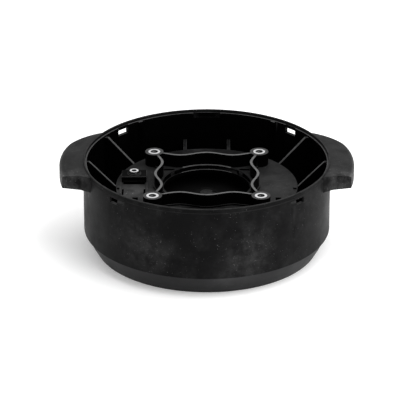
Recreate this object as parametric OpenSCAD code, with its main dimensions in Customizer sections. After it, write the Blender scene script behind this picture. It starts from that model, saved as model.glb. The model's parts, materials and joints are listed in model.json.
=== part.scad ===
// Lower drive housing of a kitchen food-waste disposer: a moulded pan with two grip ears,
// a raised deck that carries a four-boss turret, and a flat brushless motor under the deck.
// Units are millimetres. Z is up and the origin is the centre of the base.

/* [Shell] */
// Outer radius of the cylindrical wall
wall_r = 110; // [105:1:115]
// Thickness of the cylindrical wall
wall_t = 3.2; // [2.5:0.1:4]
// Height from the base to the rim
total_h = 84; // [82:1:90]
// Height of the rounded bottom cover
cover_h = 18; // [17:0.5:19]
// Radius of the flat ring that the cover rests on
base_r = 99.5; // [98:0.5:101]
// Depth of the deck below the rim
deck_drop = 27.5; // [26:0.5:29]
// Radius of the raised deck
deck_r = 81; // [80:0.5:83]

/* [Turret] */
// Distance between neighbouring turret bosses
boss_pitch = 95; // [94:0.5:96]
// Depth of the turret top below the rim
turret_drop = 15.4; // [14:0.2:17]
// Outer radius of a turret boss
boss_r = 8.3; // [8:0.1:9]
// Radius of the drive bore through the deck
bore_r = 38.5; // [36:0.5:39]
// How far the turret wall curves in between its bosses
wave_depth = 6; // [4:0.2:7]

/* [Grip ears] */
// Distance from the axis to the outside of an ear
ear_reach = 131; // [129:1:135]
// Height of an ear at its end face
ear_h = 11.8; // [10:0.2:13]

/* [Motor] */
// Outer radius of the stator laminations
stator_r = 60; // [58:0.5:60]
// Radius of the stator bore
stator_bore_r = 33; // [33:0.25:34]
// Number of stator teeth
tooth_count = 12; // [9:3:12]
// Number of rotor magnets
magnet_count = 8; // [6:2:10]
// Shaft radius
shaft_r = 6; // [6:0.5:6]

/* [Hidden] */
$fn = 96;
eps = 0.01;

// Shell levels and thicknesses
inner_r = wall_r - wall_t;
deck_z = total_h - deck_drop;
deck_t = 3;
turret_z = total_h - turret_drop;
half_pitch = boss_pitch / 2;
drum_t = 2.5;
trench_z = 22;
trench_t = 2.5;
rib_t = 3;
rib_drop = 4;
rib_x = 20;
low_rib_drop = 1;
corner_rib_in = [65.4, 47.8];
corner_rib_out = [92.5, 54.5];
guide_t = 1.6;
guide_y = -21;
guide_len = 25;
pad_x = 63.3;
turret_t = 2.2;
turret_mid = half_pitch - 1.7;
turret_foot = 1.4;
side_steps = 20;
boss_foot_z = 45;
collar_t = 2.3;
collar_z = 51;
collar_h = 2;
ledge_w = 1.1;
ledge_drop = 1.8;

// Rim: an outer lip that carries a seal, and a ledge inside it
lip_t = 1.3;
lip_r = wall_r - 0.5;
lip_drop = 0.8;
lip_foot = 3.8;
rim_ledge_drop = 2.6;
seal_t = 1;

// Ears
ear_top_in = total_h - 1;
ear_top_out = total_h - 4;
ear_skin = 2.4;
ear_front_a = -13.8;
ear_back_a = 10.5;
ear_back_r = 43;
arc_steps = 14;

// Snap windows and rim details
window_angle = 44.5;
window_mid_z = total_h - 8.1;
front_window_w = 16.4;
front_window_h = 5.4;
rear_window_w = 12.4;
rear_window_h = 4.8;
tongue_y = 0.4;
lug_angle = 55.2;
lug_w = 4.4;
lug_h = 4;
rim_notch_w = 24.5;
rim_notch_r = inner_r + 0.5;

// Bottom cover
cover_t = 3;
cover_r = wall_r - 1.2;
cover_bulge = 0.4;
cover_steps = 12;
screw_circle_r = 87;
screw_count = 6;
screw_start = 15;
screw_hole_r = 1.8;
screw_gap = 0.05;
cover_boss_r = 5;
pad_h = 4.5;
spigot_t = 3;
spigot_h = 2.5;
spigot_r = inner_r - spigot_t - 0.3;

// Turret fasteners
insert_flange_r = 5.4;
insert_body_r = 4.4;
insert_hole_r = 3;
insert_len = 10;
flange_t = 1;

// Cord clamp
clamp_x = -65;
clamp_y = 13.4;
clamp_front_y = 6;
clamp_back_y = 21;
clamp_w = 22;
clamp_h = 5.8;
clamp_boss_h = 7.2;
tunnel_w = 19.2;
tunnel_h = 4.4;
tunnel_end_y = 10;
cord_hole_y = 2.3;
slot_x = 9.6;

// Motor levels
stack_z = 16;
stack_h = 17;
bell_r = 64;
bell_t = 3;
lower_bell_z = 9;
upper_bell_z = 38;
bearing_r = 14;
bearing_w = 8;
lower_bearing_z = 6;
upper_bearing_z = 34;
hub_wall = 4;
tooth_w = 7;
yoke_r = 50;
bobbin_t = 0.8;
coil_t = 3.6;
overhang = 3.4;
bolt_circle_r = 67;
bolt_r = 2;
lug_r = 5;
seal_z = 42;
seal_h = 2.6;
shaft_z0 = 4.2;
shaft_z1 = 50;
hub_z = 45.4;
hub_r = 10;
magnet_t = 7.6;
core_r = 24.2;
plate_t = 0.8;
gap = 0.05;

// Electrical bay between the motor and the cover wall
board_z = 8.5;
board_t = 1.6;
board_r0 = 73;
board_r1 = 97;
board_a0 = 205;
board_a1 = 335;
conduit_r = 11.1;
conduit_x = 80 * cos(105);
conduit_y = 80 * sin(105);
ground_x = 85 * cos(120);
ground_y = 85 * sin(120);
reset_x = 60;
reset_y = 62;
button_r = 5;
pad_rim = 2.4;
switch_z = 12;

/* ---------- helpers ---------- */

// Repeats its children at the four turret bosses.
module at_bosses() {
    for (x = [-1, 1], y = [-1, 1]) translate([x * half_pitch, y * half_pitch, 0]) children();
}

// Repeats its children round a circle, starting at an angle.
module around(count, radius, start = 0) {
    for (i = [0:count - 1]) rotate([0, 0, start + i * 360 / count]) translate([radius, 0, 0]) children();
}

module ring(outer, inner, h) {
    difference() {
        cylinder(r = outer, h = h);
        translate([0, 0, -1]) cylinder(r = inner, h = h + 2);
    }
}

// A flat pie slice between two angles, used to cut sectors.
function arc_points(r, a0, a1, n) = [for (i = [0:n])
    let (a = a0 + (a1 - a0) * i / n) [r * cos(a), r * sin(a)]];

module sector(r0, r1, a0, a1, h, n = 24) {
    linear_extrude(h)
        polygon(concat(arc_points(r1, a0, a1, n), arc_points(r0, a1, a0, n)));
}

// A plain machine screw that points up, with its head's underside at z = 0.
module screw_up(head_r, head_h, shank_r, length, socket = 0.45) {
    difference() {
        union() {
            translate([0, 0, -head_h]) cylinder(r = head_r, h = head_h);
            translate([0, 0, -eps]) cylinder(r = shank_r, h = length);
        }
        translate([0, 0, -head_h - eps]) cylinder(r = head_r * socket, h = head_h * 0.8, $fn = 6);
    }
}

/* ---------- shell ---------- */

// Distance of the turret's wall line from the axis, at a place s along one side.
function wave(s) = turret_mid - wave_depth * pow(sin(180 * abs(s) / half_pitch), 2);

// One side of the turret's outline, shifted out by d, as points from corner to corner.
function side_points(d) = [for (i = [0:side_steps - 1])
    let (s = -half_pitch + boss_pitch * i / side_steps) [s, -wave(s) - d]];

function turned(points, a) = [for (p = points)
    [p[0] * cos(a) - p[1] * sin(a), p[0] * sin(a) + p[1] * cos(a)]];

function turret_outline(d) = [for (k = [0:3]) each turned(side_points(d), 90 * k)];

module turret_wall(z0, z1, out, in) {
    translate([0, 0, z0]) linear_extrude(z1 - z0) difference() {
        polygon(turret_outline(out));
        polygon(turret_outline(-in));
    }
}

module turret() {
    turret_wall(deck_z - eps, turret_z, turret_t / 2, turret_t / 2);
    turret_wall(deck_z - eps, deck_z + turret_foot, turret_t / 2 + turret_foot, turret_t / 2);
    at_bosses() translate([0, 0, boss_foot_z]) cylinder(r = boss_r, h = turret_z - boss_foot_z);
}

// The outside of the wall in section, up to the small step below the lip.
wall_outside = [[wall_r, cover_h], [wall_r, total_h - lip_foot - 0.6], [lip_r, total_h - lip_foot]];

// The wall's cross-section, with the rim's lip and inner ledge.
module wall_profile() {
    polygon(concat([[inner_r, cover_h]], wall_outside,
        [[lip_r, total_h - lip_drop], [lip_r - lip_t, total_h - lip_drop],
        [lip_r - lip_t, total_h - rim_ledge_drop], [inner_r, total_h - rim_ledge_drop]]));
}

// An ear in plan: it follows the wall, is cut square at the front and swept round at the back.
function ear_plan(inset) = concat(
    [[80, -46 + inset], [102, -41 + inset], [111, -35.2 + inset]],
    arc_points(ear_reach - inset, ear_front_a + inset, ear_back_a, arc_steps),
    [for (i = [1:arc_steps]) let (a = ear_back_a + (84 - ear_back_a) * i / arc_steps)
        [(ear_reach - ear_back_r) * cos(ear_back_a) + (ear_back_r - inset) * cos(a),
        (ear_reach - ear_back_r) * sin(ear_back_a) + (ear_back_r - inset) * sin(a)]],
    [[80, 56 - inset]]);

module ear() {
    difference() {
        intersection() {
            translate([0, 0, ear_top_out - ear_h]) linear_extrude(ear_h + 4) polygon(ear_plan(0));
            rotate_extrude() polygon([[inner_r + 1, 60], [ear_reach + 1, 60],
                [ear_reach + 1, ear_top_out - 2.2], [ear_reach - 0.5, ear_top_out - 1],
                [ear_reach - 2.2, ear_top_out], [inner_r + 1, ear_top_in]]);
        }
        translate([0, 0, ear_top_out - ear_h - 1]) intersection() {
            linear_extrude(ear_h - ear_skin + 1) polygon(ear_plan(ear_skin));
            ring(ear_reach + 5, wall_r + 2.4, 40);
        }
    }
}

// The two grip ears on the outside of the wall.
module grip_ears() {
    color([0.05, 0.05, 0.055]) difference() {
        for (m = [0, 1]) mirror([m, 0, 0]) ear();
        rotate_extrude($fn = 180) polygon(concat([[0, cover_h]], wall_outside,
            [[lip_r, total_h + 1], [0, total_h + 1]]));
    }
}

// A bracing rib between two plan points, whose top edge falls from near the rim to the deck.
module rib(from, to) {
    run = norm(to - from);
    turn = atan2(to[1] - from[1], to[0] - from[0]);
    foot = trench_z + trench_t - eps;
    translate([from[0], from[1], 0]) rotate([90, 0, turn]) translate([0, 0, -rib_t / 2])
        linear_extrude(rib_t) polygon([[-1.2, foot], [-1.2, deck_z], [0.6, deck_z],
            [run - 4.5, total_h - rib_drop - 1], [run - 3.4, total_h - rib_drop], [run, total_h - rib_drop],
            [run, foot]]);
}

// A straight rib whose top lies just below the deck.
module low_rib() {
    translate([rib_x - rib_t / 2, deck_r - 4, trench_z + trench_t])
        cube([rib_t, inner_r - deck_r + 5, deck_z - low_rib_drop - trench_z - trench_t]);
}

// Ribs that brace the wall against the drum, across the trench.
module trench_ribs() {
    color([0.05, 0.05, 0.055]) intersection() {
        for (x = [0, 1]) mirror([x, 0, 0]) {
            rib([deck_r, 0], [inner_r + 1, 0]);
            for (y = [0, 1]) mirror([0, y, 0]) {
                rib(corner_rib_in, corner_rib_out);
                low_rib();
            }
        }
        ring(inner_r, deck_r, total_h);
    }
}

module cover_bosses() {
    around(screw_count, screw_circle_r, screw_start)
        translate([0, 0, pad_h]) cylinder(r = cover_boss_r, h = trench_z + 1 - pad_h, $fn = 48);
}

// Guides either side of the cord channel on the deck.
module channel_walls() {
    for (side = [-1, 1])
        translate([clamp_x + side * (clamp_w + guide_t) / 2 - guide_t / 2, guide_y, deck_z - eps])
            cube([guide_t, guide_len, guide_t]);
}

// A window through the wall for a hook of the upper shell, with a lead-in cut in the ledge above.
module snap_window(w, h) {
    rotate([0, 0, window_angle]) translate([inner_r - 4, -w / 2, window_mid_z - h / 2]) {
        cube([12, w, h]);
        cube([4.9, w, total_h]);
    }
}

module snap_windows() {
    for (m = [0, 1]) mirror([m, 0, 0]) {
        snap_window(rear_window_w, rear_window_h);
        mirror([0, 1, 0]) snap_window(front_window_w, front_window_h);
    }
}

// A sunken tongue that fills the inner half of each front window and slopes back towards its top.
module window_tongues() {
    z = window_mid_z - front_window_h / 2 - eps;
    for (m = [0, 1]) mirror([m, 0, 0]) mirror([0, 1, 0]) rotate([0, 0, window_angle])
        translate([0, front_window_w / 2 + eps, z]) rotate([90, 0, 0])
            linear_extrude(front_window_w / 2 + eps - tongue_y)
                polygon([[inner_r + 0.9, 0], [wall_r - 0.3, 0], [wall_r - 2, front_window_h + 2 * eps],
                    [inner_r + 0.9, front_window_h + 2 * eps]]);
}

module snap_lugs() {
    for (a = [0, 1], b = [0, 1]) mirror([a, 0, 0]) mirror([0, b, 0]) rotate([0, 0, lug_angle])
        translate([inner_r - 1.4, -lug_w / 2, total_h - lug_h - 3]) cube([2.4, lug_w, lug_h]);
}

// The outer wall with its rim.
module housing_shell() {
    color([0.05, 0.05, 0.055]) {
        difference() {
            union() {
                rotate_extrude($fn = 180) wall_profile();
                snap_lugs();
            }
            snap_windows();
            for (y = [0, 1]) mirror([0, y, 0])
                translate([-rim_notch_w / 2, inner_r - 4, total_h - 7])
                    cube([rim_notch_w, rim_notch_r - inner_r + 4, 8]);
        }
        window_tongues();
    }
}

// The floor of the trench, with the bosses that take the cover's screws.
module trench_floor() {
    color([0.05, 0.05, 0.055]) difference() {
        union() {
            translate([0, 0, trench_z]) ring(inner_r, deck_r, trench_t, $fn = 180);
            cover_bosses();
        }
        around(screw_count, screw_circle_r, screw_start) cylinder(r = screw_hole_r, h = 19, $fn = 24);
    }
}

// Soft seal that the upper shell presses on.
module rim_seal() {
    color([0.02, 0.02, 0.02]) translate([0, 0, total_h - lip_drop])
        ring(lip_r - 0.15, lip_r - 0.15 - seal_t, lip_drop, $fn = 180);
}

// Shallow pockets that thin the deck in the turret's corners.
module corner_pockets() {
    for (a = [0, 1], b = [0, 1]) mirror([a, 0, 0]) mirror([0, b, 0])
        translate([29, 23, deck_z - 1.5]) cube([9.6, 13, 3]);
}

// The collar round the bore. Above the deck it stays inside the turret's wall.
module collar() {
    collar_r = bore_r + collar_t + ledge_w;
    translate([0, 0, collar_z]) cylinder(r = collar_r, h = deck_z - collar_z);
    translate([0, 0, deck_z - eps]) intersection() {
        cylinder(r = collar_r, h = collar_h);
        linear_extrude(collar_h) polygon(turret_outline(0));
    }
}

module motor_deck() {
    color([0.05, 0.05, 0.055]) difference() {
        union() {
            translate([0, 0, deck_z - deck_t]) cylinder(r = deck_r, h = deck_t);
            translate([0, 0, trench_z]) ring(deck_r, deck_r - drum_t, deck_z - trench_z);
            collar();
            turret();
            channel_walls();
            for (m = [0, 1]) mirror([m, 0, 0]) translate([deck_r - 4, -8, deck_z - eps]) cube([3, 5, 1.5]);
        }
        translate([0, 0, collar_z - 1]) cylinder(r = bore_r, h = 30);
        translate([0, 0, deck_z - ledge_drop]) cylinder(r = bore_r + ledge_w, h = 30);
        corner_pockets();
        at_bosses() {
            translate([0, 0, turret_z - insert_len]) cylinder(r = insert_body_r, h = insert_len + 1);
            translate([0, 0, turret_z - flange_t]) cylinder(r = insert_flange_r, h = flange_t + 1);
            translate([0, 0, boss_foot_z - 1]) cylinder(r = bolt_r + screw_gap, h = 11);
        }
        for (side = [-1, 1]) translate([clamp_x + side * slot_x - 0.8, -20.4, deck_z - deck_t - 1])
            cube([1.6, 12.6, deck_t + 2]);
        for (side = [-1, 1]) translate([side * pad_x - 2.5, -33, deck_z - deck_t - 1])
            cube([5, 7.4, deck_t + 2]);
        translate([clamp_x, clamp_y, deck_z - deck_t - 1]) cylinder(r = 2.05, h = 10, $fn = 32);
        translate([clamp_x - tunnel_w / 2, cord_hole_y, deck_z - deck_t - 1])
            cube([tunnel_w, tunnel_end_y - cord_hole_y - 1.5, deck_t + 2]);
    }
}

// Flanged threaded inserts in the turret bosses.
module mount_inserts() {
    color([0.85, 0.85, 0.86]) at_bosses() difference() {
        union() {
            translate([0, 0, turret_z - insert_len]) cylinder(r = insert_body_r, h = insert_len);
            translate([0, 0, turret_z - flange_t]) cylinder(r = insert_flange_r, h = flange_t);
        }
        translate([0, 0, turret_z - insert_len - 1]) cylinder(r = insert_hole_r, h = insert_len + 2);
    }
}

// The bridge block that holds the supply cord down in its channel.
module cord_clamp() {
    color([0.04, 0.04, 0.045]) difference() {
        union() {
            translate([clamp_x - clamp_w / 2, clamp_front_y, deck_z])
                cube([clamp_w, clamp_back_y - clamp_front_y, clamp_h]);
            translate([clamp_x, clamp_y, deck_z]) cylinder(r = 5.8, h = clamp_boss_h, $fn = 64);
        }
        translate([clamp_x - tunnel_w / 2, clamp_front_y - 1, deck_z - eps])
            cube([tunnel_w, tunnel_end_y - clamp_front_y + 1, tunnel_h]);
        translate([clamp_x, clamp_y, deck_z - 1]) cylinder(r = 2.15, h = clamp_boss_h + 2, $fn = 32);
    }
}

module clamp_screw() {
    color([0.85, 0.85, 0.86]) translate([clamp_x, clamp_y, deck_z + clamp_boss_h]) rotate([180, 0, 0])
        screw_up(3.9, 1.5, 2, clamp_boss_h + deck_t, 0.58);
}

/* ---------- bottom cover ---------- */

// The rounded outside of the cover, from the base ring up to the joint.
function cover_curve(shift) = [for (i = [0:cover_steps]) let (t = i / cover_steps)
    [base_r + (cover_r - base_r) * t + 4 * cover_bulge * t * (1 - t) - shift, cover_h * t]];

module cover_shell() {
    rotate_extrude($fn = 180) difference() {
        union() {
            polygon(concat([[0, 0]], cover_curve(0), [[0, cover_h]]));
            translate([spigot_r, cover_h - eps]) square([spigot_t, spigot_h]);
        }
        difference() {
            polygon(concat([[-1, 0]], cover_curve(cover_t), [[spigot_r, cover_h + 4], [-1, cover_h + 4]]));
            translate([-2, -1]) square([120, cover_t + 1]);
        }
    }
}

module bottom_cover() {
    color([0.06, 0.06, 0.065]) difference() {
        union() {
            cover_shell();
            around(screw_count, screw_circle_r, screw_start) cylinder(r = 6, h = pad_h, $fn = 48);
            translate([conduit_x, conduit_y, 0]) cylinder(r = conduit_r + pad_rim, h = 6);
            translate([reset_x, reset_y, 0]) cylinder(r = button_r + pad_rim, h = cover_t);
            at_board_screws() cylinder(r = 3, h = board_z, $fn = 32);
            for (s = [-6, 6]) translate([reset_x + s, reset_y + s, 1])
                cylinder(r = 1.6, h = switch_z - 1, $fn = 32);
            translate([ground_x, ground_y, 1]) cylinder(r = 4.5, h = cover_t + 2, $fn = 48);
        }
        around(screw_count, screw_circle_r, screw_start) {
            translate([0, 0, -1]) cylinder(r = 2.1, h = 8, $fn = 24);
            translate([0, 0, -1]) cylinder(r = 4.2, h = 3.6, $fn = 48);
        }
        at_board_screws() translate([0, 0, 3]) cylinder(r = 1.3, h = 9, $fn = 24);
        translate([ground_x, ground_y, 1.5]) cylinder(r = 2.05, h = 9, $fn = 32);
        translate([conduit_x, conduit_y, -1]) cylinder(r = conduit_r, h = 9);
        translate([reset_x, reset_y, -1]) cylinder(r = button_r + 0.3, h = 8, $fn = 64);
        translate([0, 0, -1]) cylinder(r = 8, h = 6);
        for (r = [30, 42, 54], a = [0:30:330]) rotate([0, 0, a]) translate([r, -1.5, -1]) cube([8, 3, 6]);
    }
}

module cover_gasket() {
    color([0.02, 0.02, 0.02]) translate([0, 0, cover_h + spigot_h])
        ring(spigot_r + spigot_t - 0.3, spigot_r + 0.3, trench_z - cover_h - spigot_h);
}

module cover_screws() {
    color("silver") around(screw_count, screw_circle_r, screw_start)
        translate([0, 0, 2.6]) screw_up(3.8, 2, screw_hole_r - screw_gap, 14);
}

module conduit_bushing() {
    color([0.1, 0.1, 0.1]) translate([conduit_x, conduit_y, 0]) difference() {
        union() {
            translate([0, 0, 0.4]) cylinder(r = conduit_r - 0.1, h = 8);
            translate([0, 0, 6.1]) cylinder(r = conduit_r + 3, h = 2.3);
        }
        translate([0, 0, -1]) cylinder(r = conduit_r - 2.6, h = 12);
    }
}

/* ---------- electrical bay ---------- */

// Repeats its children at the two screws that hold the control board.
module at_board_screws() {
    for (a = [217, 323]) rotate([0, 0, a]) translate([board_r0 + 12, 0, 0]) children();
}

module control_board() {
    color([0.05, 0.35, 0.15]) difference() {
        translate([0, 0, board_z]) sector(board_r0, board_r1, board_a0, board_a1, board_t);
        at_board_screws() cylinder(r = 1.6, h = 20, $fn = 24);
        around(screw_count, screw_circle_r, screw_start) cylinder(r = cover_boss_r + 1, h = 20, $fn = 48);
    }
}

module board_screws() {
    color("silver") at_board_screws() translate([0, 0, board_z + board_t])
        rotate([180, 0, 0]) screw_up(2.6, 1.6, 1.25, 6);
}

module filter_capacitors() {
    color([0.1, 0.12, 0.3]) for (a = [228, 240, 268]) rotate([0, 0, a])
        translate([board_r0 + 8, 0, board_z + board_t + gap]) cylinder(r = 6, h = 9.5, $fn = 48);
}

module power_module() {
    color([0.1, 0.1, 0.1]) rotate([0, 0, 288]) translate([board_r0 + 6, -13, board_z + board_t + gap])
        cube([14, 26, 6]);
}

module terminal_block() {
    color([0.85, 0.85, 0.8]) rotate([0, 0, 160]) translate([74, -16, cover_t]) difference() {
        cube([13, 32, 11]);
        for (i = [0:2]) {
            translate([6.5, 6 + 10 * i, 5]) cylinder(r = 2.6, h = 7, $fn = 32);
            translate([8, 6 + 10 * i, 4]) rotate([0, 90, 0]) cylinder(r = 2, h = 6, $fn = 32);
        }
    }
}

module terminal_screws() {
    color("silver") rotate([0, 0, 160]) for (i = [0:2])
        translate([80.5, -10 + 10 * i, cover_t + 5.05]) difference() {
            cylinder(r = 2.4, h = 3, $fn = 32);
            translate([-3, -0.4, 2]) cube([6, 0.8, 2]);
        }
}

module ground_screw() {
    color([0.2, 0.6, 0.25]) translate([ground_x, ground_y, cover_t + 3]) difference() {
        union() {
            translate([0, 0, -4]) cylinder(r = 2, h = 5, $fn = 32);
            cylinder(r = 4.5, h = 3, $fn = 6);
        }
        translate([-6, -0.5, 2]) cube([12, 1, 2]);
    }
}

module overload_switch() {
    color([0.15, 0.12, 0.1]) translate([reset_x - 8, reset_y - 8, switch_z]) difference() {
        cube([16, 16, 9]);
        translate([8, 8, -1]) cylinder(r = 2.4, h = 7, $fn = 32);
    }
}

function coil_point(t, r, turns, h) = [r * cos(360 * turns * t), r * sin(360 * turns * t), h * t];

// A coil spring swept from round sections that stand radially.
module coil_spring(r, wire_r, turns, h) {
    steps = turns * 16;
    sides = 6;
    points = [for (i = [0:steps]) let (c = coil_point(i / steps, r, turns, h), a = 360 * turns * i / steps)
        for (k = [0:sides - 1]) let (b = 360 * k / sides)
            [c[0] + wire_r * cos(b) * cos(a), c[1] + wire_r * cos(b) * sin(a), c[2] + wire_r * sin(b)]];
    walls = [for (i = [0:steps - 1], k = [0:sides - 1]) let (n = (k + 1) % sides)
        [i * sides + k, (i + 1) * sides + k, (i + 1) * sides + n, i * sides + n]];
    first = [for (k = [0:sides - 1]) k];
    last = [for (k = [sides - 1:-1:0]) steps * sides + k];
    polyhedron(points, concat(walls, [first, last]), convexity = 6);
}

module reset_spring() {
    color("silver") translate([reset_x, reset_y, 4.95]) coil_spring(3.9, 0.4, 4, 6.5);
}

module reset_button() {
    color([0.75, 0.05, 0.04]) translate([reset_x, reset_y, 0]) {
        translate([0, 0, 0.9]) cylinder(r = button_r, h = 2.4, $fn = 64);
        translate([0, 0, 3.2]) cylinder(r = button_r + 1.6, h = 1.2, $fn = 64);
        translate([0, 0, 4]) cylinder(r = 2.1, h = 9.5, $fn = 32);
    }
}

/* ---------- motor ---------- */

// A bell's outer lugs for the through bolts, with their holes.
module bolt_lugs(z, h) {
    around(4, bolt_circle_r, 0) translate([0, 0, z]) cylinder(r = lug_r, h = h, $fn = 48);
}

module bolt_holes() {
    around(4, bolt_circle_r, 0) cylinder(r = bolt_r + gap, h = 60, $fn = 32);
}

module bell_windows(z) {
    around(8, 38, 22.5) translate([-9, -5, z]) cube([18, 10, bell_t + 2]);
}

module lower_end_bell() {
    color([0.6, 0.6, 0.62]) difference() {
        union() {
            translate([0, 0, lower_bell_z]) cylinder(r = bell_r, h = bell_t);
            translate([0, 0, lower_bell_z]) ring(bell_r, stator_r - 3, stack_z - lower_bell_z);
            translate([0, 0, lower_bearing_z - 1.5]) cylinder(r = bearing_r + hub_wall, h = bearing_w + 1.5);
            bolt_lugs(lower_bell_z, stack_z - lower_bell_z);
        }
        translate([0, 0, lower_bearing_z]) cylinder(r = bearing_r, h = 20);
        translate([0, 0, 1]) cylinder(r = shaft_r + 3, h = 10);
        bell_windows(lower_bell_z - 1);
        bolt_holes();
    }
}

module upper_end_bell() {
    top = stack_z + stack_h;
    color([0.04, 0.04, 0.045]) difference() {
        union() {
            translate([0, 0, upper_bell_z]) cylinder(r = bell_r, h = bell_t);
            translate([0, 0, top]) ring(bell_r, stator_r - 3, upper_bell_z - top + 1);
            translate([0, 0, upper_bearing_z])
                cylinder(r = bearing_r + hub_wall, h = seal_z + seal_h - upper_bearing_z);
            bolt_lugs(top, upper_bell_z + bell_t - top);
            for (a = [45:90:315]) rotate([0, 0, a]) translate([bell_r - 8, -boss_r, upper_bell_z])
                cube([half_pitch * sqrt(2) - bell_r + 8, 2 * boss_r, bell_t]);
            at_bosses() translate([0, 0, upper_bell_z]) cylinder(r = boss_r, h = bell_t);
        }
        translate([0, 0, upper_bearing_z - 1]) cylinder(r = bearing_r, h = bearing_w + 1);
        translate([0, 0, upper_bearing_z]) cylinder(r = shaft_r + 3, h = 20);
        translate([0, 0, seal_z]) cylinder(r = shaft_r + 5, h = 10);
        at_bosses() cylinder(r = bolt_r + 0.3, h = 60, $fn = 32);
        bolt_holes();
    }
}

// Laminated ring with one straight tooth and a wide shoe at each pole.
module stator_core() {
    color([0.35, 0.36, 0.38]) translate([0, 0, stack_z]) intersection() {
        union() {
            ring(stator_r, yoke_r, stack_h);
            difference() {
                union() {
                    around(tooth_count, 0) translate([stator_bore_r - 2, -tooth_w / 2, 0])
                        cube([yoke_r - stator_bore_r + 3, tooth_w, stack_h]);
                    around(tooth_count, 0) translate([stator_bore_r - 2, -7.4, 0]) cube([4.6, 14.8, stack_h]);
                }
                translate([0, 0, -1]) cylinder(r = stator_bore_r, h = stack_h + 2);
            }
        }
        cylinder(r = stator_r, h = stack_h);
    }
}

// A rectangular frame round one tooth, between two radii.
module tooth_frame(r0, r1, hole, side, above) {
    translate([r0, 0, stack_z]) difference() {
        translate([0, -tooth_w / 2 - side, -above]) cube([r1 - r0, tooth_w + 2 * side, stack_h + 2 * above]);
        translate([-1, -tooth_w / 2 - hole, -hole])
            cube([r1 - r0 + 2, tooth_w + 2 * hole, stack_h + 2 * hole]);
    }
}

module coil_bobbins() {
    color([0.85, 0.83, 0.75]) around(tooth_count, 0) {
        tooth_frame(36.2, 49.4, gap, bobbin_t, bobbin_t);
        tooth_frame(36.2, 37, bobbin_t - eps, 3.2, overhang);
        tooth_frame(48.6, 49.4, bobbin_t - eps, coil_t + 0.6, overhang);
    }
}

module stator_windings() {
    color([0.72, 0.36, 0.16]) around(tooth_count, 0) difference() {
        tooth_frame(37.2, 48.4, bobbin_t + gap, coil_t, overhang - 0.2);
        for (side = [-1, 1]) translate([35, side * 9.1, stack_z - 5]) rotate([0, 0, side * 15])
            translate([0, side * 5 - 5, 0]) cube([12, 10, 30]);
    }
}

module through_bolts() {
    color("silver") around(4, bolt_circle_r, 0)
        translate([0, 0, lower_bell_z]) screw_up(4, 3, bolt_r, upper_bell_z + bell_t - lower_bell_z + 4);
}

module through_bolt_nuts() {
    color("silver") around(4, bolt_circle_r, 0) translate([0, 0, upper_bell_z + bell_t + gap]) difference() {
        cylinder(r = 4, h = 3, $fn = 6);
        translate([0, 0, -1]) cylinder(r = bolt_r + gap, h = 6, $fn = 32);
    }
}

module motor_isolators() {
    color([0.05, 0.05, 0.05]) at_bosses() translate([0, 0, upper_bell_z + bell_t])
        ring(7, bolt_r + 0.6, boss_foot_z - upper_bell_z - bell_t);
}

module motor_screws() {
    color("silver") at_bosses() translate([0, 0, upper_bell_z]) screw_up(3.1, 2.8, bolt_r, 16);
}

module shaft_seal() {
    color([0.03, 0.03, 0.03]) translate([0, 0, seal_z]) ring(shaft_r + 5, shaft_r + gap, seal_h);
}

module race(outer, inner, z, groove_r) {
    difference() {
        translate([0, 0, z]) ring(outer, inner, bearing_w);
        translate([0, 0, z + bearing_w / 2]) rotate_extrude() translate([groove_r, 0]) circle(r = 2.4, $fn = 32);
    }
}

ball_circle_r = (bearing_r + shaft_r) / 2;

module bearing_outer(z) {
    color("silver") race(bearing_r, ball_circle_r + 1.6, z, ball_circle_r);
}

module bearing_inner(z) {
    color("silver") race(ball_circle_r - 1.6, shaft_r, z, ball_circle_r);
}

module bearing_balls(z) {
    color("white") around(8, ball_circle_r) translate([0, 0, z + bearing_w / 2]) sphere(r = 2.3, $fn = 32);
}

module lower_bearing_outer() { bearing_outer(lower_bearing_z); }
module upper_bearing_outer() { bearing_outer(upper_bearing_z); }
module lower_bearing_inner() { bearing_inner(lower_bearing_z); }
module upper_bearing_inner() { bearing_inner(upper_bearing_z); }
module lower_bearing_balls() { bearing_balls(lower_bearing_z); }
module upper_bearing_balls() { bearing_balls(upper_bearing_z); }

// The shaft, with a hexagon socket in its lower end for freeing a jam by hand.
module rotor_shaft() {
    color([0.75, 0.75, 0.77]) difference() {
        translate([0, 0, shaft_z0]) cylinder(r = shaft_r, h = shaft_z1 - shaft_z0);
        translate([0, 0, shaft_z0 - 1]) cylinder(r = 3.7, h = 9, $fn = 6);
        translate([shaft_r - 1.5, -1.5, hub_z]) cube([4, 3, 10]);
    }
}

module rotor_core() {
    color([0.4, 0.4, 0.42]) translate([0, 0, stack_z]) difference() {
        ring(core_r, shaft_r, stack_h);
        around(6, 15) translate([0, 0, -1]) cylinder(r = 4, h = stack_h + 2, $fn = 48);
    }
}

module rotor_magnets() {
    share = 360 / magnet_count;
    color([0.3, 0.3, 0.32]) for (i = [0:magnet_count - 1]) translate([0, 0, stack_z])
        sector(core_r + gap, core_r + magnet_t, i * share + 1.5, (i + 1) * share - 1.5, stack_h, 8);
}

module rotor_end_plates() {
    color([0.7, 0.7, 0.72]) for (z = [stack_z - plate_t, stack_z + stack_h]) translate([0, 0, z])
        ring(core_r + magnet_t - 1, shaft_r + 3, plate_t);
}

module drive_hub() {
    color([0.5, 0.5, 0.52]) translate([0, 0, hub_z]) difference() {
        cylinder(r = hub_r, h = shaft_z1 - hub_z);
        translate([0, 0, -1]) cylinder(r = shaft_r, h = 20);
        translate([shaft_r - 1.5, -1.5, -1]) cube([3.3, 3, 20]);
        around(4, hub_r, 45) translate([0, 0, -1]) cylinder(r = 1.5, h = 20, $fn = 32);
    }
}

module hub_key() {
    color([0.6, 0.6, 0.6]) translate([shaft_r - 1.5, -1.5, hub_z]) cube([3.3, 3, shaft_z1 - hub_z - 0.4]);
}

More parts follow.
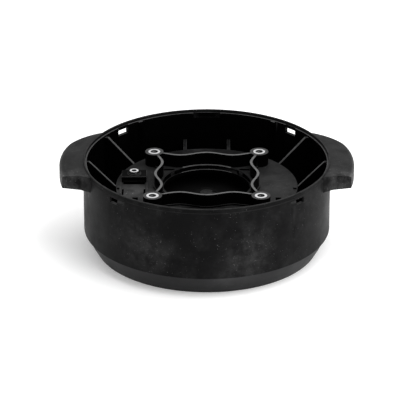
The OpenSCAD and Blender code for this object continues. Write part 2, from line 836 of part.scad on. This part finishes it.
housing_shell();
grip_ears();
trench_floor();
motor_deck();
trench_ribs();
rim_seal();
mount_inserts();
cord_clamp();
clamp_screw();
bottom_cover();
cover_gasket();
cover_screws();
conduit_bushing();
terminal_block();
terminal_screws();
ground_screw();
control_board();
board_screws();
filter_capacitors();
power_module();
lower_end_bell();
upper_end_bell();
stator_core();
coil_bobbins();
stator_windings();
through_bolts();
through_bolt_nuts();
motor_isolators();
motor_screws();
shaft_seal();
lower_bearing_outer();
upper_bearing_outer();
overload_switch();
reset_spring();
rotor_shaft();
rotor_core();
rotor_magnets();
rotor_end_plates();
lower_bearing_inner();
upper_bearing_inner();
lower_bearing_balls();
upper_bearing_balls();
drive_hub();
hub_key();
reset_button();
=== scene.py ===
"""Looks of the disposer's lower drive housing: materials, moulded edges and small hardware."""

import json
import math

import bmesh
import bpy
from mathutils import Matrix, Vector


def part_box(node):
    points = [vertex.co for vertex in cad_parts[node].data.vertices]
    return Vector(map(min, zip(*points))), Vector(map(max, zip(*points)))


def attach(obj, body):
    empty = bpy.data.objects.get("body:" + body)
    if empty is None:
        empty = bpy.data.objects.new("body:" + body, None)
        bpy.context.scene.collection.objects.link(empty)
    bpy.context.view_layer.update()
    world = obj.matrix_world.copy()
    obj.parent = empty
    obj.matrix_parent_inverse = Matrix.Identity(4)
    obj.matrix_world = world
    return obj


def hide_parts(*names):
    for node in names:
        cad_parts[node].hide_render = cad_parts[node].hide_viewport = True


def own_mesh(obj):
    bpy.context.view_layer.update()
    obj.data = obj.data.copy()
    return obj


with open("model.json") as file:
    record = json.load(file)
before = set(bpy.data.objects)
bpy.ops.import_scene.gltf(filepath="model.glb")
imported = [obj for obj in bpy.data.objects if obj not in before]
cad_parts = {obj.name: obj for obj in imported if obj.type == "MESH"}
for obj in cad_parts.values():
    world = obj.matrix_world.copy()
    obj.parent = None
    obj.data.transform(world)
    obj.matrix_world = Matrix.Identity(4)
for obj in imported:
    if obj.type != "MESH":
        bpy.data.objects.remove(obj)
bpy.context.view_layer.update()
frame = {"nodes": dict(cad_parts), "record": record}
NODES = frame["nodes"]
SUBPARTS = frame["record"]["subparts"]
MOUNTS = {m["name"]: m for m in frame["record"]["mounts"]}
MM = 0.001


# ---------- camera, floor and light ----------

VIEW_ELEVATION = math.radians(24.9)
VIEW_DISTANCE = 2.5
VIEW_CENTRE = Vector((0, 0, 0.043))
VIEW_LENS = 241.9
VIEW_SHIFT = (0.0030, -0.0213)
VIEW_FAR = 20

WORLD_STRENGTH = 0.78
LAMP_TARGET = Vector((0, 0, 0.04))

FLOOR_SIZE = 12
FLOOR_DROP = 0.4 * MM
PAPER_GREY = 0.93
PAPER_GLOW = 0.18


def make_camera():
    """A long lens that looks down at the front of the housing."""
    data = bpy.data.cameras.new("camera")
    data.lens = VIEW_LENS
    data.shift_x, data.shift_y = VIEW_SHIFT
    data.clip_end = VIEW_FAR
    cam = bpy.data.objects.new("camera", data)
    back = Vector((0, -math.cos(VIEW_ELEVATION), math.sin(VIEW_ELEVATION)))
    cam.location = VIEW_CENTRE + back * VIEW_DISTANCE
    cam.rotation_euler = (-back).to_track_quat("-Z", "Y").to_euler()
    bpy.context.scene.collection.objects.link(cam)
    bpy.context.scene.camera = cam


def area_light(name, place, size, power):
    data = bpy.data.lights.new(name, "AREA")
    data.shape = "RECTANGLE"
    data.size, data.size_y = size
    data.energy = power
    lamp = bpy.data.objects.new(name, data)
    lamp.location = place
    lamp.rotation_euler = (LAMP_TARGET - Vector(place)).to_track_quat("-Z", "Y").to_euler()
    bpy.context.scene.collection.objects.link(lamp)


def make_world():
    world = bpy.data.worlds.new("studio")
    world.use_nodes = True
    background = world.node_tree.nodes["Background"]
    background.inputs["Color"].default_value = (1, 1, 1, 1)
    background.inputs["Strength"].default_value = WORLD_STRENGTH
    bpy.context.scene.world = world
    bpy.context.scene.view_settings.view_transform = "Standard"


def make_floor():
    """White paper that glows a little, so that it stays white round the contact shadow."""
    bpy.ops.mesh.primitive_plane_add(size=FLOOR_SIZE, location=(0, 0, -FLOOR_DROP))
    floor = bpy.context.object
    floor.name = "floor"
    paper = bpy.data.materials.new("paper")
    paper.use_nodes = True
    shader = paper.node_tree.nodes["Principled BSDF"]
    shader.inputs["Base Color"].default_value = (PAPER_GREY, PAPER_GREY, PAPER_GREY, 1)
    shader.inputs["Roughness"].default_value = 0.9
    shader.inputs["Specular IOR Level"].default_value = 0.1
    shader.inputs["Emission Color"].default_value = (1, 1, 1, 1)
    shader.inputs["Emission Strength"].default_value = PAPER_GLOW
    floor.data.materials.append(paper)


def make_studio():
    make_world()
    area_light("key", (0.85, -0.3, 1.3), size=(1.6, 1.6), power=22)
    area_light("overhead", (-0.15, 0.5, 1.6), size=(1.4, 1.0), power=7)
    make_floor()


# ---------- material building blocks ----------

# Noise patterns: scale, detail, roughness, and the noise values at which each is absent and full.
PATTERNS = {
    "smudge": (26, 5, 0.62, 0.42, 0.68),
    "film_gaps": (9, 2, 0.5, 0.4, 0.62),
    "flow_marks": (60, 2, 0.5, 0.35, 0.7),
    "cloud": (38, 4, 0.6, 0.46, 0.72),
    "fine_cloud": (180, 3, 0.6, 0.3, 0.7),
    "top_dust_and_light": (55, 4, 0.65, 0.3, 0.7),
    "haze": (140, 4, 0.7, 0.42, 0.7),
    "stray_specks": (900, 1, 0.5, 0.755, 0.775),
    "grit": (620, 2, 0.75, 0.66, 0.74),
    "patch_edge": (70, 3, 0.6, 0.35, 0.6),
    # Noise that breaks up the painted highlights on edges and tops.
    "highlight_speckle": (220, 3, 0.6, 0.25, 0.6),
    "metal_tone": (90, 3, 0.6, 0.3, 0.75),
    "plastic_tone": (70, 3, 0.6, 0.3, 0.75),
    "plastic_gloss": (150, 3, 0.6, 0.3, 0.7),
    "laminate_gloss": (300, 3, 0.6, 0.3, 0.7),
    "copper_gloss": (200, 3, 0.6, 0.3, 0.7),
    "board_gloss": (250, 2, 0.5, 0.3, 0.7),
}


class Surface:
    """A Principled material with short calls for the nodes that drive it."""

    def __init__(self, name, **sockets):
        self.material = bpy.data.materials.new(name)
        self.material.use_nodes = True
        self.tree = self.material.node_tree
        self.shader = self.tree.nodes["Principled BSDF"]
        self.place = self.tree.nodes.new("ShaderNodeTexCoord").outputs["Object"]
        for socket, value in sockets.items():
            self.shader.inputs[socket.replace("_", " ")].default_value = value

    def node(self, kind, inputs=(), **settings):
        """A node whose inputs are linked to sockets or set to values."""
        made = self.tree.nodes.new("ShaderNode" + kind)
        for key, value in settings.items():
            setattr(made, key, value)
        for socket, value in dict(inputs).items():
            if isinstance(value, bpy.types.NodeSocket):
                self.tree.links.new(value, made.inputs[socket])
            else:
                made.inputs[socket].default_value = value
        return made

    def drive(self, socket, value):
        self.tree.links.new(value, self.shader.inputs[socket])

    def bump(self, height, strength, distance):
        made = self.node("Bump", {"Height": height, "Strength": strength, "Distance": distance})
        self.drive("Normal", made.outputs["Normal"])

    # Arithmetic

    def calculate(self, operation, *values):
        return self.node("Math", enumerate(values), operation=operation).outputs[0]

    def multiply(self, a, b):
        return self.calculate("MULTIPLY", a, b)

    def add(self, a, b):
        return self.calculate("ADD", a, b)

    def waves(self, value, pitch):
        return self.calculate("SINE", self.multiply(value, 2 * math.pi / pitch))

    def distance_off(self, value, level):
        """How far a value is from a level, above or below."""
        return self.calculate("ABSOLUTE", self.add(value, -level))

    def span(self, value, low, high, to_low=0.0, to_high=1.0):
        """Maps low to high onto to_low to to_high, and holds the ends beyond them."""
        made = self.node("MapRange", {"Value": value, "From Min": low, "From Max": high,
                                      "To Min": to_low, "To Max": to_high})
        return made.outputs["Result"]

    def blend(self, share, a, b):
        """Colour a, with a share of colour b."""
        colour_a, colour_b, colour_result = 6, 7, 2
        made = self.node("Mix", {0: share, colour_a: a, colour_b: b}, data_type="RGBA")
        return made.outputs[colour_result]

    # Noise

    def noise(self, scale, detail=3.0, roughness=0.5, stretch=(1, 1, 1)):
        place = self.place
        if stretch != (1, 1, 1):
            place = self.node("Mapping", {"Vector": place, "Scale": stretch}).outputs[0]
        made = self.node("TexNoise", {"Vector": place, "Scale": scale, "Detail": detail,
                                      "Roughness": roughness})
        return made.outputs["Fac"]

    def pattern(self, name, to_low=0.0, to_high=1.0, stretch=(1, 1, 1)):
        scale, detail, roughness, absent, full = PATTERNS[name]
        return self.span(self.noise(scale, detail, roughness, stretch), absent, full, to_low, to_high)

    # Place on the object

    def flat_place(self):
        """The place with its height taken away."""
        return self.node("Mapping", {"Vector": self.place, "Scale": (1, 1, 0)}).outputs[0]

    def radius(self):
        """Distance from the housing's axis."""
        return self.node("VectorMath", {0: self.flat_place()}, operation="LENGTH").outputs["Value"]

    def height(self):
        return self.node("SeparateXYZ", {0: self.place}).outputs["Z"]

    def distance(self, place, centre):
        return self.node("VectorMath", {0: place, 1: centre}, operation="DISTANCE").outputs["Value"]

    def normal_z(self):
        """1 on faces that look up, 0 on upright ones."""
        return self.node("SeparateXYZ", {0: self.node("NewGeometry").outputs["Normal"]}).outputs["Z"]


def grey(level, blue=1.0):
    return (level, level, level * blue, 1)


def tint(colour, share=1.0):
    """An opaque colour at a share of its brightness."""
    return tuple(c * share for c in colour) + (1,)


# ---------- black moulded plastic ----------

FILM_GAIN = 2.6
DUST_AND_LIGHT_GREY = grey(0.25)
CLOUD_GREY = grey(0.12)
HAZE_GREY = grey(0.2)
PATCH_GREY = grey(0.3)
# Painted highlight colour for lit edges and tops.
HIGHLIGHT_GREY = grey(0.13)
# Painted shade: the share of the base colour kept on the inner walls.
INNER_SHADE_SHARE = 0.2
LIP_RADIUS = 0.1098


def add_dust_and_top_light(s, colour, film, amount, shaded_places):
    """Dust in clouds, as haze in the film and as stray specks; faces that look up are made paler, settled
    dust together with painted light from above, cut back as painted shade at listed places.
    """
    cloud = s.multiply(s.pattern("cloud"), s.pattern("fine_cloud"))
    colour = s.blend(s.multiply(cloud, 0.09 * amount), colour, CLOUD_GREY)
    # Up-facing faces made paler: settled dust and painted light from above, cut back as painted shade at
    # the listed places.
    dust_and_top_light = s.multiply(s.span(s.normal_z(), 0.9, 0.97), s.pattern("top_dust_and_light", 0.5, 1.3))
    for centre, radius in shaded_places:
        away = s.distance(s.place, centre)
        dust_and_top_light = s.multiply(dust_and_top_light, s.span(away, radius * 0.85, radius, 0.1, 1))
    colour = s.blend(s.multiply(dust_and_top_light, 0.05 * amount), colour, DUST_AND_LIGHT_GREY)
    haze = s.multiply(s.pattern("haze"), 0.05 * amount)
    colour = s.blend(s.multiply(haze, film), colour, HAZE_GREY)
    return s.blend(s.multiply(s.pattern("stray_specks"), 0.35 * amount), colour, DUST_AND_LIGHT_GREY)


def add_patches(s, colour, patches):
    """Handled places where dust and its specks have gathered; on the deck they also paint a reflection of
    the overhead light.
    """
    for centre, radius, strength in patches:
        away = s.distance(s.place, centre)
        near = s.multiply(s.span(away, radius, radius * 0.2), s.pattern("patch_edge"))
        specks = s.multiply(near, s.pattern("grit"))
        colour = s.blend(s.multiply(near, 0.03 * strength), colour, PATCH_GREY)
        colour = s.blend(s.multiply(specks, 0.35 * strength), colour, PATCH_GREY)
    return colour


def painted_inner_shade(s, inner_shade_radius):
    """1 on upright faces inside a radius, where painted shade darkens the inner walls."""
    inside = s.span(s.radius(), inner_shade_radius, inner_shade_radius - 0.4 * MM)
    upright = s.span(s.distance_off(s.normal_z(), 0), 0.6, 0.4)
    return s.multiply(inside, upright)


def paint_edge_highlights(s, colour, highlight_breakup, strength):
    """Painted highlight on rounded edges that look partly up, kept faint on the rim's thin lip."""
    upward = s.normal_z()
    edge = s.multiply(s.span(upward, 0.2, 0.45), s.span(upward, 0.96, 0.86))
    off_lip = s.distance_off(s.radius(), LIP_RADIUS)
    edge = s.multiply(edge, s.span(off_lip, 0.6 * MM, 1.0 * MM, 0.12, 1))
    return s.blend(s.multiply(s.multiply(edge, highlight_breakup), strength), colour, HIGHLIGHT_GREY)


def paint_top_highlights(s, colour, highlight_breakup, tops):
    """Painted highlights on faces that look up at a few heights, each within a circle."""
    facing_up = s.span(s.normal_z(), 0.3, 0.75)
    for height, reach, strength, centre, radius in tops:
        level = s.span(s.distance_off(s.height(), height), reach, reach * 0.6)
        away = s.distance(s.place, centre + (height,))
        lit_top = s.multiply(level, s.span(away, radius, radius * 0.97))
        lit_top = s.multiply(lit_top, s.multiply(facing_up, highlight_breakup))
        colour = s.blend(s.multiply(lit_top, strength), colour, HIGHLIGHT_GREY)
    return colour


def moulded_black(name, level, rough, gloss=0.035, dust_and_light=0.0, grain=900, patches=(),
                  inner_shade_radius=0.0, edge_highlight=0.0, top_highlights=(), shaded_places=()):
    """Black injection-moulded plastic: fine grain, film from handling, flow marks, dust, painted light on
    up-facing faces, painted shade on inner walls and painted highlights on edges and tops.
    """
    s = Surface(name, Specular_IOR_Level=gloss)
    smudge = s.pattern("smudge")
    flow = s.pattern("flow_marks", stretch=(1, 1, 0.25))
    film = s.multiply(smudge, s.pattern("film_gaps"))
    colour = s.blend(film, grey(level, 1.04), grey(level * FILM_GAIN, 1.03))
    satin = s.add(s.span(smudge, 0, 1, rough - 0.06, rough + 0.12), s.span(flow, 0, 1, -0.03, 0.04))
    if dust_and_light:
        colour = add_dust_and_top_light(s, colour, film, dust_and_light, shaded_places)
    colour = add_patches(s, colour, patches)
    if inner_shade_radius:
        inner_shade = painted_inner_shade(s, inner_shade_radius)
        # Painted shade on the upright inner walls, which are also made glossier.
        colour = s.blend(inner_shade, colour, grey(level * INNER_SHADE_SHARE))
        satin = s.multiply(satin, s.span(inner_shade, 0, 1, 1, 0.3))
    if edge_highlight:
        highlight_breakup = s.pattern("highlight_speckle", 0.5, 1)
        # Painted highlights on edges and on up-facing tops.
        colour = paint_edge_highlights(s, colour, highlight_breakup, edge_highlight)
        colour = paint_top_highlights(s, colour, highlight_breakup, top_highlights)
    s.drive("Base Color", colour)
    s.drive("Roughness", satin)
    s.bump(s.add(s.noise(grain, 2, 0.6), s.multiply(flow, 0.4)), strength=0.10, distance=0.2 * MM)
    return s.material


# ---------- the other materials ----------

def metal(name, colour, rough, metallic=1.0, grain=400, stretch=(1, 1, 1), shaded_holes=(), shade_above=0.0):
    """Bare or plated metal with a fine grain, painted shade in listed holes and, above a height,
    near-black painted shade.
    """
    s = Surface(name, Metallic=metallic)
    streak = s.noise(grain, 3, 0.6, stretch)
    shade = s.blend(s.pattern("metal_tone"), tint(colour, 0.85), tint(colour))
    for x, y, radius in shaded_holes:
        away = s.distance(s.flat_place(), (x, y, 0))
        # Painted shade: the hole is darkened to a tenth of the metal's colour.
        shade = s.blend(s.span(away, radius + 0.1 * MM, radius), shade, tint(colour, 0.09))
    if shade_above:
        # Painted shade: the shaft goes near-black above this height, where it stands in the dark bore.
        bore_shade = s.span(s.height(), shade_above, shade_above + 1 * MM)
        shade = s.blend(bore_shade, shade, grey(0.003))
    s.drive("Base Color", shade)
    s.drive("Roughness", s.span(streak, 0.3, 0.7, rough * 0.8, rough * 1.35))
    s.bump(streak, strength=0.08, distance=0.1 * MM)
    return s.material


def plain_plastic(name, colour, rough):
    """Coloured moulded plastic, lacquer or rubber with slight tone change and a fine surface."""
    s = Surface(name)
    s.drive("Base Color", s.blend(s.pattern("plastic_tone"), tint(colour, 0.8), tint(colour)))
    s.drive("Roughness", s.pattern("plastic_gloss", rough * 0.85, rough * 1.2))
    s.bump(s.noise(700, 2, 0.6), strength=0.12, distance=0.15 * MM)
    return s.material


def laminated(name, colour, pitch):
    """Stacked laminations: thin dark lines between bright sheets, across Z."""
    s = Surface(name, Metallic=0.9)
    line = s.span(s.waves(s.height(), pitch), 0.4, 0.95)
    s.drive("Base Color", s.blend(line, tint(colour), grey(0.05)))
    s.drive("Roughness", s.pattern("laminate_gloss", 0.35, 0.55))
    s.bump(line, strength=-0.4, distance=0.3 * MM)
    return s.material


def wound_copper(name):
    """Enamelled wire in close turns round each tooth."""
    turn_pitch, layer_pitch = 0.9 * MM, 1.1 * MM
    gap, wire = (0.20, 0.06, 0.02), (0.72, 0.30, 0.11)
    s = Surface(name, Metallic=0.85, Coat_Weight=0.5, Coat_Roughness=0.2)
    turns = s.span(s.waves(s.radius(), turn_pitch), -1, 1)
    layers = s.span(s.waves(s.height(), layer_pitch), -1, 1)
    ridge = s.add(turns, s.multiply(layers, 0.25))
    s.drive("Base Color", s.blend(s.span(ridge, 0.1, 0.8), tint(gap), tint(wire)))
    s.drive("Roughness", s.pattern("copper_gloss", 0.25, 0.4))
    s.bump(ridge, strength=0.5, distance=0.3 * MM)
    return s.material


def circuit_laminate(name):
    """Green solder mask with raised copper tracks under it."""
    mask, track = (0.010, 0.085, 0.035), (0.05, 0.26, 0.10)
    s = Surface(name, Coat_Weight=0.4, Coat_Roughness=0.15)
    bricks = s.node("TexBrick", {"Vector": s.place, "Scale": 95, "Mortar Size": 0.012,
                                 "Color1": grey(0), "Color2": grey(0), "Mortar": grey(1)}, offset=0.37)
    share = s.node("SeparateColor", {0: bricks.outputs["Color"]}).outputs[0]
    s.drive("Base Color", s.blend(share, tint(mask), tint(track)))
    s.drive("Roughness", s.pattern("board_gloss", 0.3, 0.45))
    s.bump(share, strength=0.3, distance=0.1 * MM)
    return s.material


# ---------- where the marks are, in metres ----------

INSERT_DIMS = MOUNTS["turret_inserts"]["dims"]
INSERT_X = INSERT_DIMS["spacing_x_mm"] * MM / 2
INSERT_Y = INSERT_DIMS["spacing_y_mm"] * MM / 2
INSERT_PLACES = [(x, y) for x in (-INSERT_X, INSERT_X) for y in (-INSERT_Y, INSERT_Y)]

# Painted shade in the holes of the bright fasteners: centre and radius.
CLAMP_SCREW_LOW, CLAMP_SCREW_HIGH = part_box("clamp_screw")
CLAMP_SCREW = (CLAMP_SCREW_LOW + CLAMP_SCREW_HIGH) / 2
HOLE_SHADE = [(x, y, 3.3 * MM) for x, y in INSERT_PLACES]
HOLE_SHADE.append((CLAMP_SCREW.x, CLAMP_SCREW.y, 2.3 * MM))

# Dusty patches on the handled wall, deck and ears, the two on the deck also a painted reflection of the
# overhead light: centre, radius and strength.
DUST_AND_SHEEN_PATCHES = (
    ((-0.048, -0.099, 0.038), 0.026, 1.8),
    ((0.037, -0.103, 0.038), 0.030, 1.8),
    # These two deck patches are partly a painted reflection of the overhead light.
    ((-0.065, -0.012, 0.0565), 0.024, 3.0),
    ((0.066, 0.000, 0.0565), 0.032, 1.2),
    ((0.118, -0.034, 0.074), 0.02, 4.5),
    ((-0.118, -0.034, 0.074), 0.02, 4.5),
    ((0.121, -0.002, 0.081), 0.032, 0.4),
)

# Painted highlights on lit top faces: height, reach up and down, strength, and the centre and radius they
# stay within.
TOP_HIGHLIGHTS = (
    (0.0814, 0.0006, 0.7, (0, 0), 0.1095),
    (0.0686, 0.0007, 0.75, (0, 0), 0.059),
    (0.0686, 0.0007, 0.3, (0, 0), 0.08),
    (0.0585, 0.0006, 0.5, (0, 0.041), 0.023),
    (0.0547, 0.0006, 0.55, (0, 0.039), 0.024),
)

# Painted shade on the deck and ledge, where the paler up-facing faces are cut back: centre and radius.
SHADED_DECK = (
    ((0, 0.080, 0.0565), 0.052),
    ((0, 0, 0.0565), 0.046),
    ((0, -0.072, 0.0565), 0.034),
)

# Radius inside which the upright walls get painted shade.
INNER_SHADE_RADIUS = 0.1079
# Height above which the shaft gets painted shade inside the bore.
SHAFT_SHADE_ABOVE = 0.044
LAMINATION_PITCH = 1.0 * MM


def make_materials():
    """The material of every slot in the record."""
    return {
        "housing_plastic": moulded_black("housing_plastic", 0.0036, 0.46, dust_and_light=1.0, patches=DUST_AND_SHEEN_PATCHES,
                                         inner_shade_radius=INNER_SHADE_RADIUS, edge_highlight=0.5, top_highlights=TOP_HIGHLIGHTS,
                                         shaded_places=SHADED_DECK),
        "clamp_plastic": moulded_black("clamp_plastic", 0.0006, 0.6, gloss=0.02, dust_and_light=0.1, edge_highlight=0.8),
        # Painted light: the cover's base is paler than the housing's, standing in for floor light on the
        # lower band.
        "cover_plastic": moulded_black("cover_plastic", 0.014, 0.5, gloss=0.085, dust_and_light=0.4),
        "rim_rubber": plain_plastic("rim_rubber", (0.0012, 0.0012, 0.0012), 0.85),
        "bushing_plastic": plain_plastic("bushing_plastic", (0.02, 0.02, 0.022), 0.4),
        "insert_steel": metal("insert_steel", (0.97, 0.97, 0.98), 0.26, shaded_holes=HOLE_SHADE),
        "screw_steel": metal("screw_steel", (0.66, 0.67, 0.7), 0.3),
        "ground_paint": plain_plastic("ground_paint", (0.03, 0.3, 0.09), 0.3),
        "seal_rubber": plain_plastic("seal_rubber", (0.012, 0.012, 0.012), 0.75),
        "terminal_plastic": plain_plastic("terminal_plastic", (0.72, 0.69, 0.6), 0.45),
        "board_laminate": circuit_laminate("board_laminate"),
        "capacitor_sleeve": plain_plastic("capacitor_sleeve", (0.015, 0.02, 0.07), 0.25),
        "module_epoxy": plain_plastic("module_epoxy", (0.015, 0.015, 0.016), 0.55),
        "switch_phenolic": plain_plastic("switch_phenolic", (0.05, 0.03, 0.018), 0.4),
        "cast_aluminium": metal("cast_aluminium", (0.66, 0.67, 0.69), 0.48, metallic=0.95, grain=250),
        "black_casting": moulded_black("black_casting", 0.0008, 0.7, gloss=0.05, grain=420),
        "electrical_steel": laminated("electrical_steel", (0.42, 0.43, 0.46), LAMINATION_PITCH),
        "bobbin_nylon": plain_plastic("bobbin_nylon", (0.74, 0.70, 0.58), 0.45),
        "enamelled_copper": wound_copper("enamelled_copper"),
        "bearing_steel": metal("bearing_steel", (0.78, 0.79, 0.81), 0.14),
        "spring_steel": metal("spring_steel", (0.55, 0.56, 0.58), 0.3),
        "shaft_steel": metal("shaft_steel", (0.62, 0.62, 0.63), 0.26, stretch=(1, 1, 12),
                             shade_above=SHAFT_SHADE_ABOVE),
        "magnet_ferrite": metal("magnet_ferrite", (0.10, 0.10, 0.11), 0.5, metallic=0.4),
        # Painted shade: the steel hub is given near-black plastic so it reads as the shade of the bore.
        "hub_steel": moulded_black("hub_steel", 0.002, 0.6, gloss=0.02, grain=500),
        "reset_red": plain_plastic("reset_red", (0.55, 0.012, 0.01), 0.28),
    }


# ---------- CAD nodes that stay ----------

# The moulded edge radius of each plastic node that shows.
EDGE_RADIUS = dict.fromkeys(("housing_shell", "grip_ears", "motor_deck", "trench_ribs", "cord_clamp"),
                            0.4 * MM)
EDGE_RADIUS["bottom_cover"] = 0.3 * MM


def soften_edges(node, width):
    """Rounds a CAD node's sharp edges with a small moulded radius, as modifiers on the fixed mesh."""
    weld = node.modifiers.new("weld", "WELD")
    weld.merge_threshold = 0.01 * MM
    bevel = node.modifiers.new("edge_radius", "BEVEL")
    bevel.width = width
    bevel.segments = 2
    bevel.limit_method = "ANGLE"
    bevel.angle_limit = math.radians(32)
    bevel.miter_outer = "MITER_ARC"


def dress_nodes(materials):
    slots = {s["node"]: s["material_slot"] for s in SUBPARTS}
    for name, node in NODES.items():
        node.data.materials.clear()
        node.data.materials.append(materials[slots[name]])
        if name in EDGE_RADIUS:
            soften_edges(node, EDGE_RADIUS[name])


# ---------- pieces that only the looks need ----------

def make_piece(name, bm, slot, materials, body="housing"):
    """A new piece from a finished mesh, which rides on a body of the frame."""
    mesh = bpy.data.meshes.new(name)
    bmesh.ops.recalc_face_normals(bm, faces=bm.faces)
    bm.to_mesh(mesh)
    bm.free()
    piece = bpy.data.objects.new(name, mesh)
    bpy.context.scene.collection.objects.link(piece)
    mesh.materials.append(materials[slot])
    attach(piece, body)
    return piece


def sweep_profile(bm, rings):
    """Joins equal rings of points into a tube and caps its two ends."""
    rows = [[bm.verts.new(p) for p in ring] for ring in rings]
    count = len(rows[0])
    for low, high in zip(rows, rows[1:]):
        for k in range(count):
            bm.faces.new((low[k], low[(k + 1) % count], high[(k + 1) % count], high[k]))
    bm.faces.new(list(reversed(rows[0])))
    bm.faces.new(rows[-1])


def around(angle):
    """The unit vector away from the axis at an angle."""
    return Vector((math.cos(angle), math.sin(angle), 0))


def insert_threads(materials):
    """A triangular thread ridge of 1 mm pitch inside each insert."""
    low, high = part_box("mount_inserts")
    outer, crest, pitch, steps = 3.02 * MM, 2.6 * MM, 1.0 * MM, 24
    half_foot, half_crest = 0.42 * pitch, 0.06 * pitch
    profile = ((outer, -half_foot), (crest, -half_crest), (crest, half_crest), (outer, half_foot))
    first_z = low.z + 0.8 * pitch
    turns = (high.z - low.z - 2 * pitch) / pitch
    bm = bmesh.new()
    for x, y in INSERT_PLACES:
        rings = []
        for i in range(int(turns * steps)):
            outward = around(2 * math.pi * i / steps)
            middle = Vector((x, y, first_z + pitch * i / steps))
            rings.append([middle + outward * r + Vector((0, 0, dz)) for r, dz in profile])
        sweep_profile(bm, rings)
    make_piece("insert_threads", bm, "insert_steel", materials)


def compression_spring(materials):
    """The reset button's round-wire spring, with flat end turns."""
    low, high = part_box("reset_spring")
    centre = (low + high) / 2
    wire_r, coil_r = 0.4 * MM, 3.9 * MM
    turns, flat_turn, steps, sides = 5.0, 0.5, 40, 10
    first_z, rise = low.z + wire_r, high.z - low.z - 2 * wire_r
    section = [2 * math.pi * k / sides for k in range(sides)]
    rings = []
    for i in range(int(turns * steps) + 1):
        climb = min(max((i / steps - flat_turn) / (turns - 2 * flat_turn), 0.0), 1.0)
        outward = around(2 * math.pi * i / steps)
        middle = Vector((centre.x, centre.y, first_z + rise * climb)) + outward * coil_r
        rings.append([middle + wire_r * (outward * math.cos(b) + Vector((0, 0, math.sin(b))))
                      for b in section])
    bm = bmesh.new()
    sweep_profile(bm, rings)
    piece = make_piece("reset_spring_wire", bm, "spring_steel", materials)
    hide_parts("reset_spring")
    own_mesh(piece)


make_camera()
make_studio()
MATERIALS = make_materials()
dress_nodes(MATERIALS)
insert_threads(MATERIALS)
compression_spring(MATERIALS)
